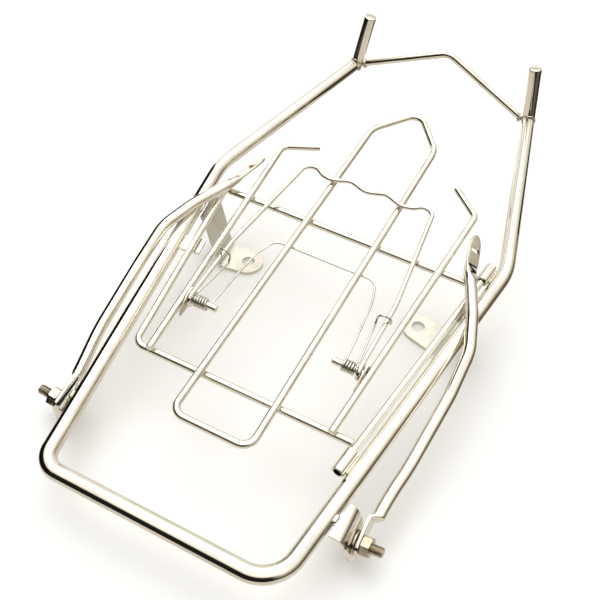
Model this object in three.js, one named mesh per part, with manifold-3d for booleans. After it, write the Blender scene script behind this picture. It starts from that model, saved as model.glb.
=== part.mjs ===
// Folding luggage rack: bent-tube frame, rod tray, spring clip and two swing-out struts.
// Millimetres, +Z up. The parts are laid out in the plane of the frame tube (x across,
// y from the near bar to the tips, z above the tube axis) and then pitched onto the floor.
import * as THREE from "three";
import { mergeVertices } from "three/addons/utils/BufferGeometryUtils.js";
import Module from "manifold-3d";

const wasm = await Module();
wasm.setup();

// ---- driving dimensions -------------------------------------------------------------
const GAP = 0.3;             // clearance left at every weld and seat
const PITCH = 5;             // degrees, near end sits lower on the floor
const FLOOR_DROP = 34.75;    // frame-tube axis above the floor at the near bar
const Y_CENTRE = 260.15;     // brings the middle of the length onto the origin

const TUBE_R = 6.5;          // main frame tube
const NEAR_HALF = 92.5;      // near bar, half width at the corner axes
const BEND_Y = 321;          // side bend
const BEND_HALF = 138;
const TIP_Y = 522;
const TIP_HALF = 93;
const CORNER_R = [15.5, 27]; // near corners, left and right
const NEAR_Y = -1.5;         // near bar
const BEND_R = 70;

const PEG_R = 6.2;           // upright pegs on the tips
const PEG_H = 54.5;
const PEG_LEAN = 8;          // inward lean of the peg top
const ARCH_R = 3.4;          // peaked cross wire between the tips
const ARCH_H = 38;
const ARCH_FOOT = [[0.6, 0], [-0.4, -3]];  // shift of each foot of the peaked wire

const ROD_R = 3;             // tray rods
const ROD_Z = 3.5;           // tray cross rods above the frame plane
const LOOP_Z = ROD_Z + 2 * ROD_R + GAP;
const CROSS_NEAR_Y = 113.5;
const CROSS_FAR_Y = 291.5;
const EDGE_NEAR_HALF = 92;   // left edge rod
const EDGE_FAR_HALF = 116.5;
const HINGE_OFF = TUBE_R + 5 + GAP;

const LOOP_HALF = 32;        // centre loop
const LOOP_NEAR_Y = 72;
const LOOP_FAR_Y = 423;
const LOOP_PEAK_Y = 466;

const HOOK_NEAR_HALF = 77;   // hooked side rods
const HOOK_BEND_HALF = 94.5;
const HOOK_BEND_Y = 360;
const HOOK_TIP = [[63.5, 375], [68, 385]];  // left and right tips, half width and y

const CLIP_R = 2;            // spring clip wire
const CLIP_Y = 167;          // clip pivot
const CLIP_FAR_Y = 343;
const CLIP_HALF = 73.3;
const PIN_R = 3;
const PIN_TIP = 50.5;
const EYE_R = PIN_R + GAP + CLIP_R;
const SPRING_R = 0.9;        // torsion spring wire
const HOOK_R = 5.5;          // hooked ends of the spring arms
const COIL_R = PIN_R + 0.45 + SPRING_R;
const COIL_TURNS = 5;

const KNUCKLE_R = 5;
const KNUCKLE_BORE = 3.4;

const PLATE_T = 3;           // tabs and lugs
const TAB_W = 31;
const TAB_Y = [270, 269];     // left and right tabs
const TAB_TURN = [-1, 7.4];   // twist of the foot, in degrees away from square to the rail
const TAB_REACH = [3, 2];     // extra inward reach of the foot
const TAB_HOLE_R = 5.8;
const LUG_Y = [54.5, 58];
const LUG_W = 27;
const LUG_OUT = [17.8, 20.6]; // middle of the lug plate at the bolt, outward from the rail axis
const BOLT_Z = -20.5;
const BOLT_R = 3.9;
const BOLT_END = [23.4, 22.2]; // thread end, from the middle of the lug plate
const FLARE = THREE.MathUtils.degToRad(10);  // the lug plates lean, so the bolts point up a little

const STRUT_R = 5;           // folding struts
const STRUT_T = 3;
const STRUT_SET = [[2.2, -3.5, 0.7], [1.2, -1, -0.3]];  // shift of each folded strut end
const STRUT_SHIFT = [0, 3.5];                           // outward step from blade to tube

const CHROME = { color: 0xd9d3c6, metalness: 1, roughness: 0.16 };
const ZINC = { color: 0xb9b3a4, metalness: 1, roughness: 0.34 };
const SPRING = { color: 0xa9a395, metalness: 1, roughness: 0.28 };

// ---- frames -------------------------------------------------------------------------
const V = (x, y, z) => new THREE.Vector3(x, y, z);
const REST = new THREE.Matrix4()
  .makeTranslation(0, -Y_CENTRE, FLOOR_DROP)
  .multiply(new THREE.Matrix4().makeRotationX(THREE.MathUtils.degToRad(PITCH)));
const SIDE_TAN = (BEND_HALF - NEAR_HALF) / BEND_Y;
const SIDE_ANGLE = Math.atan(SIDE_TAN);
const railX = (y) => NEAR_HALF + SIDE_TAN * y;
const hand = (side) => (side < 0 ? 0 : 1);

// Point beside a side rail: out = outward from the rail axis, along = shift along the rail.
function besideRail(side, y, out, z, along = 0) {
  const c = Math.cos(SIDE_ANGLE);
  const s = Math.sin(SIDE_ANGLE);
  return V(side * (railX(y) + out * c + along * s), y - out * s + along * c, z);
}

const group = new THREE.Group();
group.name = "folding_luggage_rack";

function add(name, geometry, look, rest = REST) {
  const mesh = new THREE.Mesh(geometry, new THREE.MeshStandardMaterial(look));
  mesh.name = name;
  geometry.applyMatrix4(rest);
  geometry.computeVertexNormals();
  group.add(mesh);
  return mesh;
}

// ---- swept rods ---------------------------------------------------------------------
// Rounds every inner corner of a polyline to its own radius.
function fillet(points, radii, closed = false, step = 15) {
  const out = [];
  const n = points.length;
  for (let i = 0; i < n; i++) {
    const r = Array.isArray(radii) ? radii[i] : radii;
    if (!r || (!closed && (i === 0 || i === n - 1))) {
      out.push(points[i].clone());
      continue;
    }
    const p = points[i];
    const a = points[(i + n - 1) % n].clone().sub(p).normalize();
    const b = points[(i + 1) % n].clone().sub(p).normalize();
    const turn = Math.PI - a.angleTo(b);
    const mid = a.clone().add(b).normalize();
    const centre = p.clone().addScaledVector(mid, r / Math.cos(turn / 2));
    const start = p.clone().addScaledVector(a, r * Math.tan(turn / 2)).sub(centre);
    const axis = start.clone().cross(p.clone().sub(centre)).normalize();
    const steps = Math.max(2, Math.ceil(THREE.MathUtils.radToDeg(turn) / step));
    for (let k = 0; k <= steps; k++) {
      out.push(start.clone().applyAxisAngle(axis, (turn * k) / steps).add(centre));
    }
  }
  return out;
}

// Sweeps rings along a path. shape(i) gives the ring's outline as [across, up] pairs.
function sweep(path, shape, closed = false, up = V(0, 0, 1)) {
  const n = path.length;
  const sides = shape(0).length;
  const position = [];
  const index = [];
  let normal = up.clone();
  for (let i = 0; i < n; i++) {
    const prev = path[closed ? (i + n - 1) % n : Math.max(i - 1, 0)];
    const next = path[closed ? (i + 1) % n : Math.min(i + 1, n - 1)];
    const t = next.clone().sub(prev).normalize();
    normal = normal.clone().addScaledVector(t, -normal.dot(t)).normalize();
    const across = t.clone().cross(normal);
    for (const [u, v] of shape(i)) {
      const q = path[i].clone().addScaledVector(across, u).addScaledVector(normal, v);
      position.push(q.x, q.y, q.z);
    }
  }
  const spans = closed ? n : n - 1;
  for (let i = 0; i < spans; i++) {
    for (let j = 0; j < sides; j++) {
      const a = i * sides + j;
      const b = i * sides + ((j + 1) % sides);
      const c = ((i + 1) % n) * sides + j;
      const d = ((i + 1) % n) * sides + ((j + 1) % sides);
      index.push(a, c, b, b, c, d);
    }
  }
  if (!closed) {
    for (let j = 1; j < sides - 1; j++) {
      const e = (n - 1) * sides;
      index.push(0, j, j + 1);
      index.push(e, e + j + 1, e + j);
    }
  }
  const geometry = new THREE.BufferGeometry();
  geometry.setAttribute("position", new THREE.Float32BufferAttribute(position, 3));
  geometry.setIndex(index);
  return geometry;
}

function circle(r, sides) {
  const ring = [];
  for (let j = 0; j < sides; j++) {
    const a = (2 * Math.PI * j) / sides;
    ring.push([r * Math.cos(a), r * Math.sin(a)]);
  }
  return ring;
}

function rod(path, r, sides = 12, closed = false, up = V(0, 0, 1)) {
  const ring = circle(r, sides);
  return sweep(path, () => ring, closed, up);
}

// ---- solids cut with manifold -------------------------------------------------------
function toManifold(geometry) {
  const g = geometry.clone();
  g.deleteAttribute("normal");
  g.deleteAttribute("uv");
  const m = mergeVertices(g, 1e-4);
  return new wasm.Manifold(new wasm.Mesh({
    numProp: 3,
    vertProperties: new Float32Array(m.attributes.position.array),
    triVerts: new Uint32Array(m.index.array),
  }));
}

function fromManifold(solid) {
  const mesh = solid.getMesh();
  const geometry = new THREE.BufferGeometry();
  geometry.setAttribute("position", new THREE.BufferAttribute(mesh.vertProperties, 3));
  geometry.setIndex(new THREE.BufferAttribute(mesh.triVerts, 1));
  return geometry;
}

// Round cutter of radius r between two points.
function cutter(from, to, r, sides = 20) {
  return toManifold(rod([from, to], r, sides, false, perpendicular(from, to)));
}

function perpendicular(from, to) {
  const d = to.clone().sub(from).normalize();
  return Math.abs(d.z) > 0.9 ? V(1, 0, 0) : V(0, 0, 1);
}

// ---- frame --------------------------------------------------------------------------
function frameTube() {
  const stop = PEG_R + GAP;
  const tip = (side) => {
    const dir = V(side * (BEND_HALF - TIP_HALF), BEND_Y - TIP_Y, 0).normalize();
    return V(side * TIP_HALF, TIP_Y, 0).addScaledVector(dir, stop);
  };
  const path = fillet([
    tip(-1),
    V(-BEND_HALF, BEND_Y, 0),
    V(-railX(NEAR_Y), NEAR_Y, 0),
    V(railX(NEAR_Y), NEAR_Y, 0),
    V(BEND_HALF, BEND_Y, 0),
    tip(1),
  ], [0, BEND_R, CORNER_R[0], CORNER_R[1], BEND_R, 0], false, 9);
  return rod(path, TUBE_R, 16);
}
add("main_frame_tube", frameTube(), CHROME);

// Upright peg: plain rod with a chamfered top, standing on the tube's tip.
function pegPath(side) {
  const foot = V(side * (TIP_HALF + 1), TIP_Y, -TUBE_R);
  const top = V(side * (TIP_HALF - PEG_LEAN), TIP_Y + 5, PEG_H);
  return [foot, top.clone().lerp(foot, 0.025), top];
}
function peg(side) {
  const radii = [PEG_R, PEG_R, PEG_R - 1.4];
  return sweep(pegPath(side), (i) => circle(radii[i], 16), false, V(0, 1, 0));
}

function arch() {
  const foot = (side) => {
    const p = pegPath(side);
    const on = p[0].clone().lerp(p[2], (TUBE_R + 2) / (TUBE_R + PEG_H));
    const [dy, dz] = ARCH_FOOT[hand(side)];
    return on.add(V(-side * (PEG_R + GAP + 2), dy, dz));
  };
  const peak = V(0, TIP_Y + 8.4, ARCH_H);
  return rod(fillet([foot(-1), peak, foot(1)], [0, 14, 0], false, 8), ARCH_R, 10);
}
add("peaked_cross_wire", arch(), CHROME);

// Mounting tab: strap from the rail's inner underside down to a level foot with a hole.
function tab(side) {
  const base = besideRail(side, TAB_Y[hand(side)], 0, 0).applyMatrix4(REST);
  const rise = Math.tan(THREE.MathUtils.degToRad(PITCH));
  const t = PLATE_T / 2;
  const reach = TAB_REACH[hand(side)];
  const centre = fillet([
    V(8.9, base.z - 1.5, 0),
    V(14, base.z - 13, 0),
    V(22.5 + reach, t, 0),
    V(60.5 + reach, t, 0),
  ], [0, 6, 5, 0], false, 24);
  const left = [];
  const right = [];
  centre.forEach((p, i) => {
    const a = centre[Math.max(i - 1, 0)];
    const b = centre[Math.min(i + 1, centre.length - 1)];
    const d = b.clone().sub(a).normalize();
    left.push([p.x - d.y * t, p.y + d.x * t]);
    right.push([p.x + d.y * t, p.y - d.x * t]);
  });
  right.forEach((p) => {
    if (p[1] < 0.6) p[1] = 0;
  });
  const outline = [...left, ...right.reverse()];
  const point = (v, z, s) => {
    const up = THREE.MathUtils.clamp((z - PLATE_T) / (base.z - 1.5 - PLATE_T), 0, 1);
    const lift = s * rise * up;
    const turn = SIDE_ANGLE + THREE.MathUtils.degToRad(TAB_TURN[hand(side)]) * (1 - up);
    const across = V(-side * Math.cos(turn), Math.sin(turn), 0);
    const along = V(side * Math.sin(turn), Math.cos(turn), 0);
    return V(base.x, base.y, 0).addScaledVector(across, v).addScaledVector(along, s)
      .add(V(0, 0, z + lift));
  };
  const solid = prism(outline, -TAB_W / 2, TAB_W / 2, point);
  const hole = 45.5 + reach;
  const plan = [[-4, -TAB_W / 2 - 4], [hole - 2, -TAB_W / 2 - 4]];
  for (let k = 0; k <= 12; k++) {
    const a = -Math.PI / 2 + (Math.PI * k) / 12;
    plan.push([hole - 2 + (TAB_W / 2) * Math.cos(a), (TAB_W / 2) * Math.sin(a)]);
  }
  plan.push([hole - 2, TAB_W / 2 + 4], [-4, TAB_W / 2 + 4]);
  const flat = (v, s, z) => point(v, 0, s).setZ(z);
  const keep = prism(plan, -5, base.z + 10, flat);
  const centreHole = flat(hole, 0, 0);
  const bore = cutter(centreHole.clone().setZ(-5), centreHole.clone().setZ(10), TAB_HOLE_R);
  return fromManifold(toManifold(solid).intersect(toManifold(keep)).subtract(bore));
}

// Closed prism of an outline; place(a, b, w) maps outline point and depth into space.
function prism(shape, w0, w1, place) {
  const flat = shape.map(([a, b]) => new THREE.Vector2(a, b));
  const outline = THREE.ShapeUtils.isClockWise(flat) ? [...shape].reverse() : shape;
  const n = outline.length;
  const position = [];
  const index = [];
  for (const w of [w0, w1]) {
    for (const [a, b] of outline) {
      const q = place(a, b, w);
      position.push(q.x, q.y, q.z);
    }
  }
  const caps = THREE.ShapeUtils.triangulateShape(outline.map(([a, b]) => new THREE.Vector2(a, b)), []);
  for (const [a, b, c] of caps) {
    index.push(a, b, c, n + a, n + c, n + b);
  }
  for (let i = 0; i < n; i++) {
    const j = (i + 1) % n;
    index.push(i, n + j, j, i, n + i, n + j);
  }
  const geometry = new THREE.BufferGeometry();
  geometry.setAttribute("position", new THREE.Float32BufferAttribute(position, 3));
  geometry.setIndex(index);
  return outward(geometry);
}

// Flips a closed mesh whose faces point inward.
function outward(geometry) {
  const p = geometry.attributes.position;
  const index = geometry.index.array;
  const [a, b, c] = [V(0, 0, 0), V(0, 0, 0), V(0, 0, 0)];
  let volume = 0;
  for (let i = 0; i < index.length; i += 3) {
    a.fromBufferAttribute(p, index[i]);
    b.fromBufferAttribute(p, index[i + 1]);
    c.fromBufferAttribute(p, index[i + 2]);
    volume += a.dot(b.cross(c));
  }
  if (volume < 0) {
    for (let i = 0; i < index.length; i += 3) {
      [index[i + 1], index[i + 2]] = [index[i + 2], index[i + 1]];
    }
  }
  return geometry;
}

// Strut lug: plate welded to the rail's outer side, rolled down to a slightly flared face.
// Its root follows the rail and its face lies square across the part.
function lugPoint(side, u, z, s) {
  const root = THREE.MathUtils.clamp((14.5 - u) / 6, 0, 1);
  const y = LUG_Y[hand(side)];
  return V(side * (railX(y) + u + root * SIDE_TAN * s), y + s, z);
}

function lug(side) {
  const t = PLATE_T / 2;
  const plate = (z) => V(LUG_OUT[hand(side)] + (BOLT_Z - z) * Math.tan(FLARE), z, 0);
  const shoulder = V(LUG_OUT[hand(side)] - 6, 0.3, 0);
  const root = V(TUBE_R + GAP + 0.1, 1.2, 0);
  const centre = fillet([root, shoulder, plate(-9.5), plate(-46)], [0, 5, 12, 0], false, 18);
  const inner = [];
  const outer = [];
  centre.forEach((p, i) => {
    const a = centre[Math.max(i - 1, 0)];
    const b = centre[Math.min(i + 1, centre.length - 1)];
    const d = b.clone().sub(a).normalize();
    outer.push([p.x - d.y * t, p.y + d.x * t]);
    inner.push([p.x + d.y * t, p.y - d.x * t]);
  });
  const section = [...outer, ...inner.reverse()];
  const solid = prism(section, -LUG_W / 2, LUG_W / 2, (u, z, s) => lugPoint(side, u, z, s));
  const y = LUG_Y[hand(side)];
  const pitch = THREE.MathUtils.degToRad(PITCH);
  const floor = -(FLOOR_DROP + y * Math.sin(pitch)) / Math.cos(pitch);
  const face = [[LUG_W / 2, 10], [-LUG_W / 2, 10], [-LUG_W / 2, -8]];
  for (let k = 0; k <= 12; k++) {
    const a = Math.PI + (Math.PI * k) / 12;
    face.push([10.5 * Math.cos(a), floor + 10.5 * (1 + Math.sin(a))]);
  }
  face.push([LUG_W / 2, -8]);
  const keep = prism(face, 0, 40, (s, z, u) => V(side * (railX(y) + u), y + s, z));
  const bore = cutter(onBolt(side, -9), onBolt(side, 9), BOLT_R + GAP);
  let body = toManifold(solid).intersect(toManifold(keep)).subtract(bore);
  // the weld holds the middle of the root; both ends of the root stand off the rail
  for (const [s0, s1] of [[-15, -5], [5, 15]]) {
    const outline = [[5, -4], [8.6, -4], [8.6, 8], [5, 8]];
    const notch = prism(outline, s0, s1, (u, z, s) => lugPoint(side, u, z, s));
    body = body.subtract(toManifold(notch));
  }
  return fromManifold(body);
}

// ---- pivot fasteners ----------------------------------------------------------------
// Stations along the pivot axis, from the middle of the lug plate: washer, stay, nut.
const WASHER_AT = PLATE_T / 2 + GAP;
const STRUT_AT = WASHER_AT + 1.6 + GAP + STRUT_T / 2;
const NUT_AT = STRUT_AT + STRUT_T / 2 + GAP;

function onBolt(side, along) {
  const y = LUG_Y[hand(side)];
  const x = railX(y) + LUG_OUT[hand(side)] + along * Math.cos(FLARE);
  return V(side * x, y, BOLT_Z + along * Math.sin(FLARE));
}

function bolt(side) {
  const under = -PLATE_T / 2 - GAP;
  const end = BOLT_END[hand(side)];
  const rings = [[under - 5, 7.5], [under, 7.5], [under, BOLT_R], [end - 1, BOLT_R], [end, BOLT_R - 1]];
  const sides = 12;
  const path = rings.map(([out], i) => onBolt(side, out + i * 1e-4));
  const hex = circle(7.5, 6).flatMap(([u, v], j, all) => {
    const [u2, v2] = all[(j + 1) % 6];
    return [[u, v], [(u + u2) / 2, (v + v2) / 2]];
  });
  return outward(sweepAlong(path, (i) => (i < 2 ? hex : circle(rings[i][1], sides)), side));
}

// Straight sweep whose rings all share one direction.
function sweepAlong(path, shape, side) {
  const dir = path[path.length - 1].clone().sub(path[0]).normalize();
  const across = dir.clone().cross(V(0, 0, 1)).normalize();
  const up = across.clone().cross(dir);
  const sides = shape(0).length;
  const position = [];
  const index = [];
  path.forEach((p, i) => {
    for (const [u, v] of shape(i)) {
      const q = p.clone().addScaledVector(across, u).addScaledVector(up, v);
      position.push(q.x, q.y, q.z);
    }
  });
  for (let i = 0; i < path.length - 1; i++) {
    for (let j = 0; j < sides; j++) {
      const a = i * sides + j;
      const b = i * sides + ((j + 1) % sides);
      index.push(a, a + sides, b, b, a + sides, b + sides);
    }
  }
  const e = (path.length - 1) * sides;
  for (let j = 1; j < sides - 1; j++) {
    index.push(0, j, j + 1);
    index.push(e, e + j + 1, e + j);
  }
  const geometry = new THREE.BufferGeometry();
  geometry.setAttribute("position", new THREE.Float32BufferAttribute(position, 3));
  geometry.setIndex(index);
  return geometry;
}

// Ring with a bore around the pivot axis: washers and nuts.
function ring(side, from, to, outline, bore) {
  const body = outward(sweepAlong([onBolt(side, from), onBolt(side, to)], () => outline, side));
  const hole = cutter(onBolt(side, from - 2), onBolt(side, to + 2), bore, 16);
  return fromManifold(toManifold(body).subtract(hole));
}

// ---- tray ---------------------------------------------------------------------------
const hingePoint = (y) => besideRail(1, y, -HINGE_OFF, ROD_Z);

function edgeRod() {
  const joint = hingePoint(CROSS_NEAR_Y + 1);
  const path = fillet([
    V(joint.x - ROD_R - GAP - 0.8, CROSS_NEAR_Y, ROD_Z),
    V(-EDGE_NEAR_HALF, CROSS_NEAR_Y, ROD_Z),
    V(-EDGE_FAR_HALF, CROSS_FAR_Y + 3, ROD_Z),
  ], [0, 9, 0], false, 14);
  return rod(path, ROD_R, 12);
}
add("near_cross_and_edge_rod", edgeRod(), CHROME);

function farCrossRod() {
  const right = hingePoint(CROSS_FAR_Y + 1).x - ROD_R - GAP - 0.8;
  const left = -EDGE_FAR_HALF + ROD_R + GAP + 0.9;
  return rod([V(left, CROSS_FAR_Y, ROD_Z), V(right, CROSS_FAR_Y, ROD_Z)], ROD_R, 12);
}
add("far_cross_rod", farCrossRod(), CHROME);
add("hinge_rod", rod([hingePoint(98), hingePoint(316)], ROD_R, 12), CHROME);

function centreLoop() {
  return rod(fillet([
    V(-LOOP_HALF, LOOP_NEAR_Y, LOOP_Z),
    V(LOOP_HALF, LOOP_NEAR_Y, LOOP_Z),
    V(LOOP_HALF, LOOP_FAR_Y, LOOP_Z),
    V(0, LOOP_PEAK_Y, LOOP_Z),
    V(-LOOP_HALF, LOOP_FAR_Y, LOOP_Z),
  ], [10, 10, 26, 11, 26], true, 12), ROD_R, 12, true);
}
add("centre_loop", centreLoop(), CHROME);

const hookX = (y) => HOOK_NEAR_HALF
  + ((HOOK_BEND_HALF - HOOK_NEAR_HALF) * (y - CROSS_NEAR_Y)) / (HOOK_BEND_Y - CROSS_NEAR_Y);

function hookRod(side) {
  return rod(fillet([
    V(side * hookX(CROSS_NEAR_Y - 3), CROSS_NEAR_Y - 3, LOOP_Z),
    V(side * HOOK_BEND_HALF, HOOK_BEND_Y, LOOP_Z),
    V(side * HOOK_TIP[hand(side)][0], HOOK_TIP[hand(side)][1], LOOP_Z),
  ], [0, 9, 0], false, 12), ROD_R, 12);
}

function pivotPin(side) {
  const from = V(side * (hookX(CLIP_Y) - ROD_R - GAP - 0.25), CLIP_Y, LOOP_Z);
  const to = V(side * PIN_TIP, CLIP_Y, LOOP_Z);
  const path = [from, to.clone().lerp(from, 0.03), to];
  const radii = [PIN_R, PIN_R, PIN_R - 0.8];
  return sweep(path, (i) => circle(radii[i], 14));
}

// Small plate below the hooked rod that steadies the pin; the clip's eye runs beside it.
function pinBracket(side) {
  const x0 = hookX(CLIP_Y) - ROD_R - GAP - 1.3;
  const x1 = x0 + 1.3;
  const outline = [
    [CLIP_Y - 15, LOOP_Z - 7], [CLIP_Y - 9, LOOP_Z - 8], [CLIP_Y + 7, LOOP_Z - 8],
    [CLIP_Y + 7, LOOP_Z + 4.4], [CLIP_Y - 2, LOOP_Z + 4.4], [CLIP_Y - 15, LOOP_Z - 2],
  ];
  const plate = prism(outline, x0, x1, (y, z, x) => V(side * (x + hookX(y) - hookX(CLIP_Y)), y, z));
  const a = V(side * (x0 - 2), CLIP_Y, LOOP_Z);
  const b = V(side * (x1 + 2), CLIP_Y, LOOP_Z);
  return fromManifold(toManifold(plate).subtract(cutter(a, b, PIN_R + GAP, 16)));
}

// Welded tubes on the right rail that carry the hinge rod.
function knuckle(y0, y1) {
  const from = hingePoint(y0);
  const to = hingePoint(y1);
  const body = toManifold(rod([from, to], KNUCKLE_R, 20));
  const dir = to.clone().sub(from).normalize();
  const a = from.clone().addScaledVector(dir, -2);
  const b = to.clone().addScaledVector(dir, 2);
  return fromManifold(body.subtract(cutter(a, b, KNUCKLE_BORE, 16)));
}
add("near_hinge_knuckle", knuckle(86, 106), CHROME);
add("far_hinge_knuckle", knuckle(297, 316), CHROME);

// Rest for the free side of the tray, welded inside the left rail below the edge rod.
function trayRest() {
  const z1 = ROD_Z - ROD_R - GAP;
  const outline = [
    [-TUBE_R - GAP - 0.1, z1], [-TUBE_R - GAP - 0.5, z1 - 3], [-24, z1 - 3], [-24, z1],
  ];
  return prism(outline, -8, 8, (u, z, s) => besideRail(-1, 222, u, z, s));
}
add("tray_rest_tab", trayRest(), CHROME);

// ---- spring clip --------------------------------------------------------------------
const CLIP_Z = LOOP_Z + EYE_R;

function eye(side) {
  const points = [];
  for (let k = 0; k <= 22; k++) {
    const a = THREE.MathUtils.degToRad(90 + k * 14.5);
    points.push(V(side * (CLIP_HALF + (k / 22) * 0.0), CLIP_Y + EYE_R * Math.cos(a),
      LOOP_Z + EYE_R * Math.sin(a)));
  }
  return points;
}

function clipPath() {
  const wave = [[-43, -4.5], [-33, -6], [-20, -1], [-14, -0.8], [0, -5.2], [14, -0.8], [20, -1], [33, -6], [43, -4.5]];
  const leg = (side) => fillet([
    V(side * CLIP_HALF, CLIP_Y + 0.5, CLIP_Z),
    V(side * CLIP_HALF, CLIP_Y + 66, CLIP_Z),
    V(side * 61.5, CLIP_FAR_Y + 2, CLIP_Z),
    V(side * 50, CLIP_FAR_Y + 0.5, CLIP_Z),
  ], [0, 60, 9, 0], false, 14);
  const bar = wave.map(([x, dy]) => V(x, CLIP_FAR_Y + dy, CLIP_Z));
  return [...eye(-1).reverse(), ...leg(-1), ...bar, ...leg(1).reverse(), ...eye(1)];
}
add("clip_wire", rod(clipPath(), CLIP_R, 10, false, V(1, 0, 0)), CHROME);

// ---- torsion spring -----------------------------------------------------------------
const COIL_OUT = 69.5;
const COIL_IN = COIL_OUT - COIL_TURNS * 2 * (SPRING_R + 0.12);

// Coil around a pin; phase in degrees measured from +y towards +z.
function coil(side, phase0, turns) {
  const points = [];
  const steps = Math.round(turns * 12);
  for (let k = 0; k <= steps; k++) {
    const a = THREE.MathUtils.degToRad(phase0 + (k * 360 * turns) / steps);
    const x = COIL_OUT + ((COIL_IN - COIL_OUT) * k) / steps;
    points.push(V(side * x, CLIP_Y + COIL_R * Math.cos(a), LOOP_Z + COIL_R * Math.sin(a)));
  }
  return points;
}

const BRIDGE_Z = LOOP_Z - ROD_R - SPRING_R - GAP;

function springBody() {
  const turns = COIL_TURNS - 0.5;
  const half = (side) => {
    const c = coil(side, 90, turns);
    const end = c[c.length - 1];
    return [...c,
      V(end.x - side * 0.6, CLIP_Y + 8, end.z + 0.4),
      V(side * 54, CLIP_Y + 62, BRIDGE_Z + 0.6),
      V(side * 50.5, CLIP_Y + 77, BRIDGE_Z),
      V(side * 47, CLIP_Y + 85.5, BRIDGE_Z),
      V(side * 41, CLIP_Y + 89, BRIDGE_Z)];
  };
  const path = [...half(-1), ...half(1).reverse()];
  return rod(path, SPRING_R, 6, false, V(1, 0, 0));
}
add("torsion_spring", springBody(), SPRING);

// Outer arm: lies beside the clip leg and hooks round it.
function springArm(side) {
  const r = HOOK_R;
  const x0 = CLIP_HALF + CLIP_R + SPRING_R + 1.5 * GAP - r;
  const path = [
    V(side * (CLIP_HALF - CLIP_R - SPRING_R - GAP), CLIP_Y + 3, LOOP_Z + COIL_R + 1),
    V(side * (x0 - r), CLIP_Y + 44, CLIP_Z - 3),
  ];
  for (let k = 0; k <= 9; k++) {
    const a = Math.PI - (k * Math.PI * 1.2) / 9;
    path.push(V(side * (x0 + r * Math.cos(a)), CLIP_Y + 47 + k * 0.25, CLIP_Z + 1 + r * Math.sin(a)));
  }
  return rod(path, SPRING_R, 6, false, V(0, 0, 1));
}

// ---- struts -------------------------------------------------------------------------
// Centre line: pivot blade beside the lug, tube along the rail, then over it to the tip.
function strutCentre(side) {
  const pivot = onBolt(side, STRUT_AT);
  const [dx, dy, dz] = STRUT_SET[hand(side)];
  const inPlane = (y, z) => pivot.clone().add(V(-side * z * Math.sin(FLARE), y, z * Math.cos(FLARE)));
  return fillet([
    inPlane(-8, -1.6),
    inPlane(20, 4),
    side < 0 ? V(-133.3, 120, -13.5) : V(134, 122, -13),
    V(side * 139, 188, -4),
    V(side * 138.5 + dx / 2, 226 + dy / 2, 7.5 + dz),
    V(side * 127.5 + dx, 258 + dy, 13 + dz),
    V(side * 111.5 + dx, 296 + dy, 13.2 + dz),
    V(side * 102.5 + dx, 338 + dy, 12.6 + dz),
  ], [0, 60, 120, 60, 45, 60, 60, 0], false, 8);
}

function rectangle(w, t) {
  const c = 0.6;
  const a = w / 2;
  const b = t / 2;
  return [
    [a, 0], [a, b - c], [a - c, b], [a / 3, b], [-a / 3, b], [c - a, b], [-a, b - c],
    [-a, 0], [-a, c - b], [c - a, -b], [-a / 3, -b], [a / 3, -b], [a - c, -b], [a, c - b],
  ];
}

function mix(one, two, k) {
  return one.map(([u, v], i) => [u + (two[i][0] - u) * k, v + (two[i][1] - v) * k]);
}

function turned(ring2, angle) {
  const c = Math.cos(angle);
  const s = Math.sin(angle);
  return ring2.map(([u, v]) => [u * c - v * s, u * s + v * c]);
}

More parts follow.
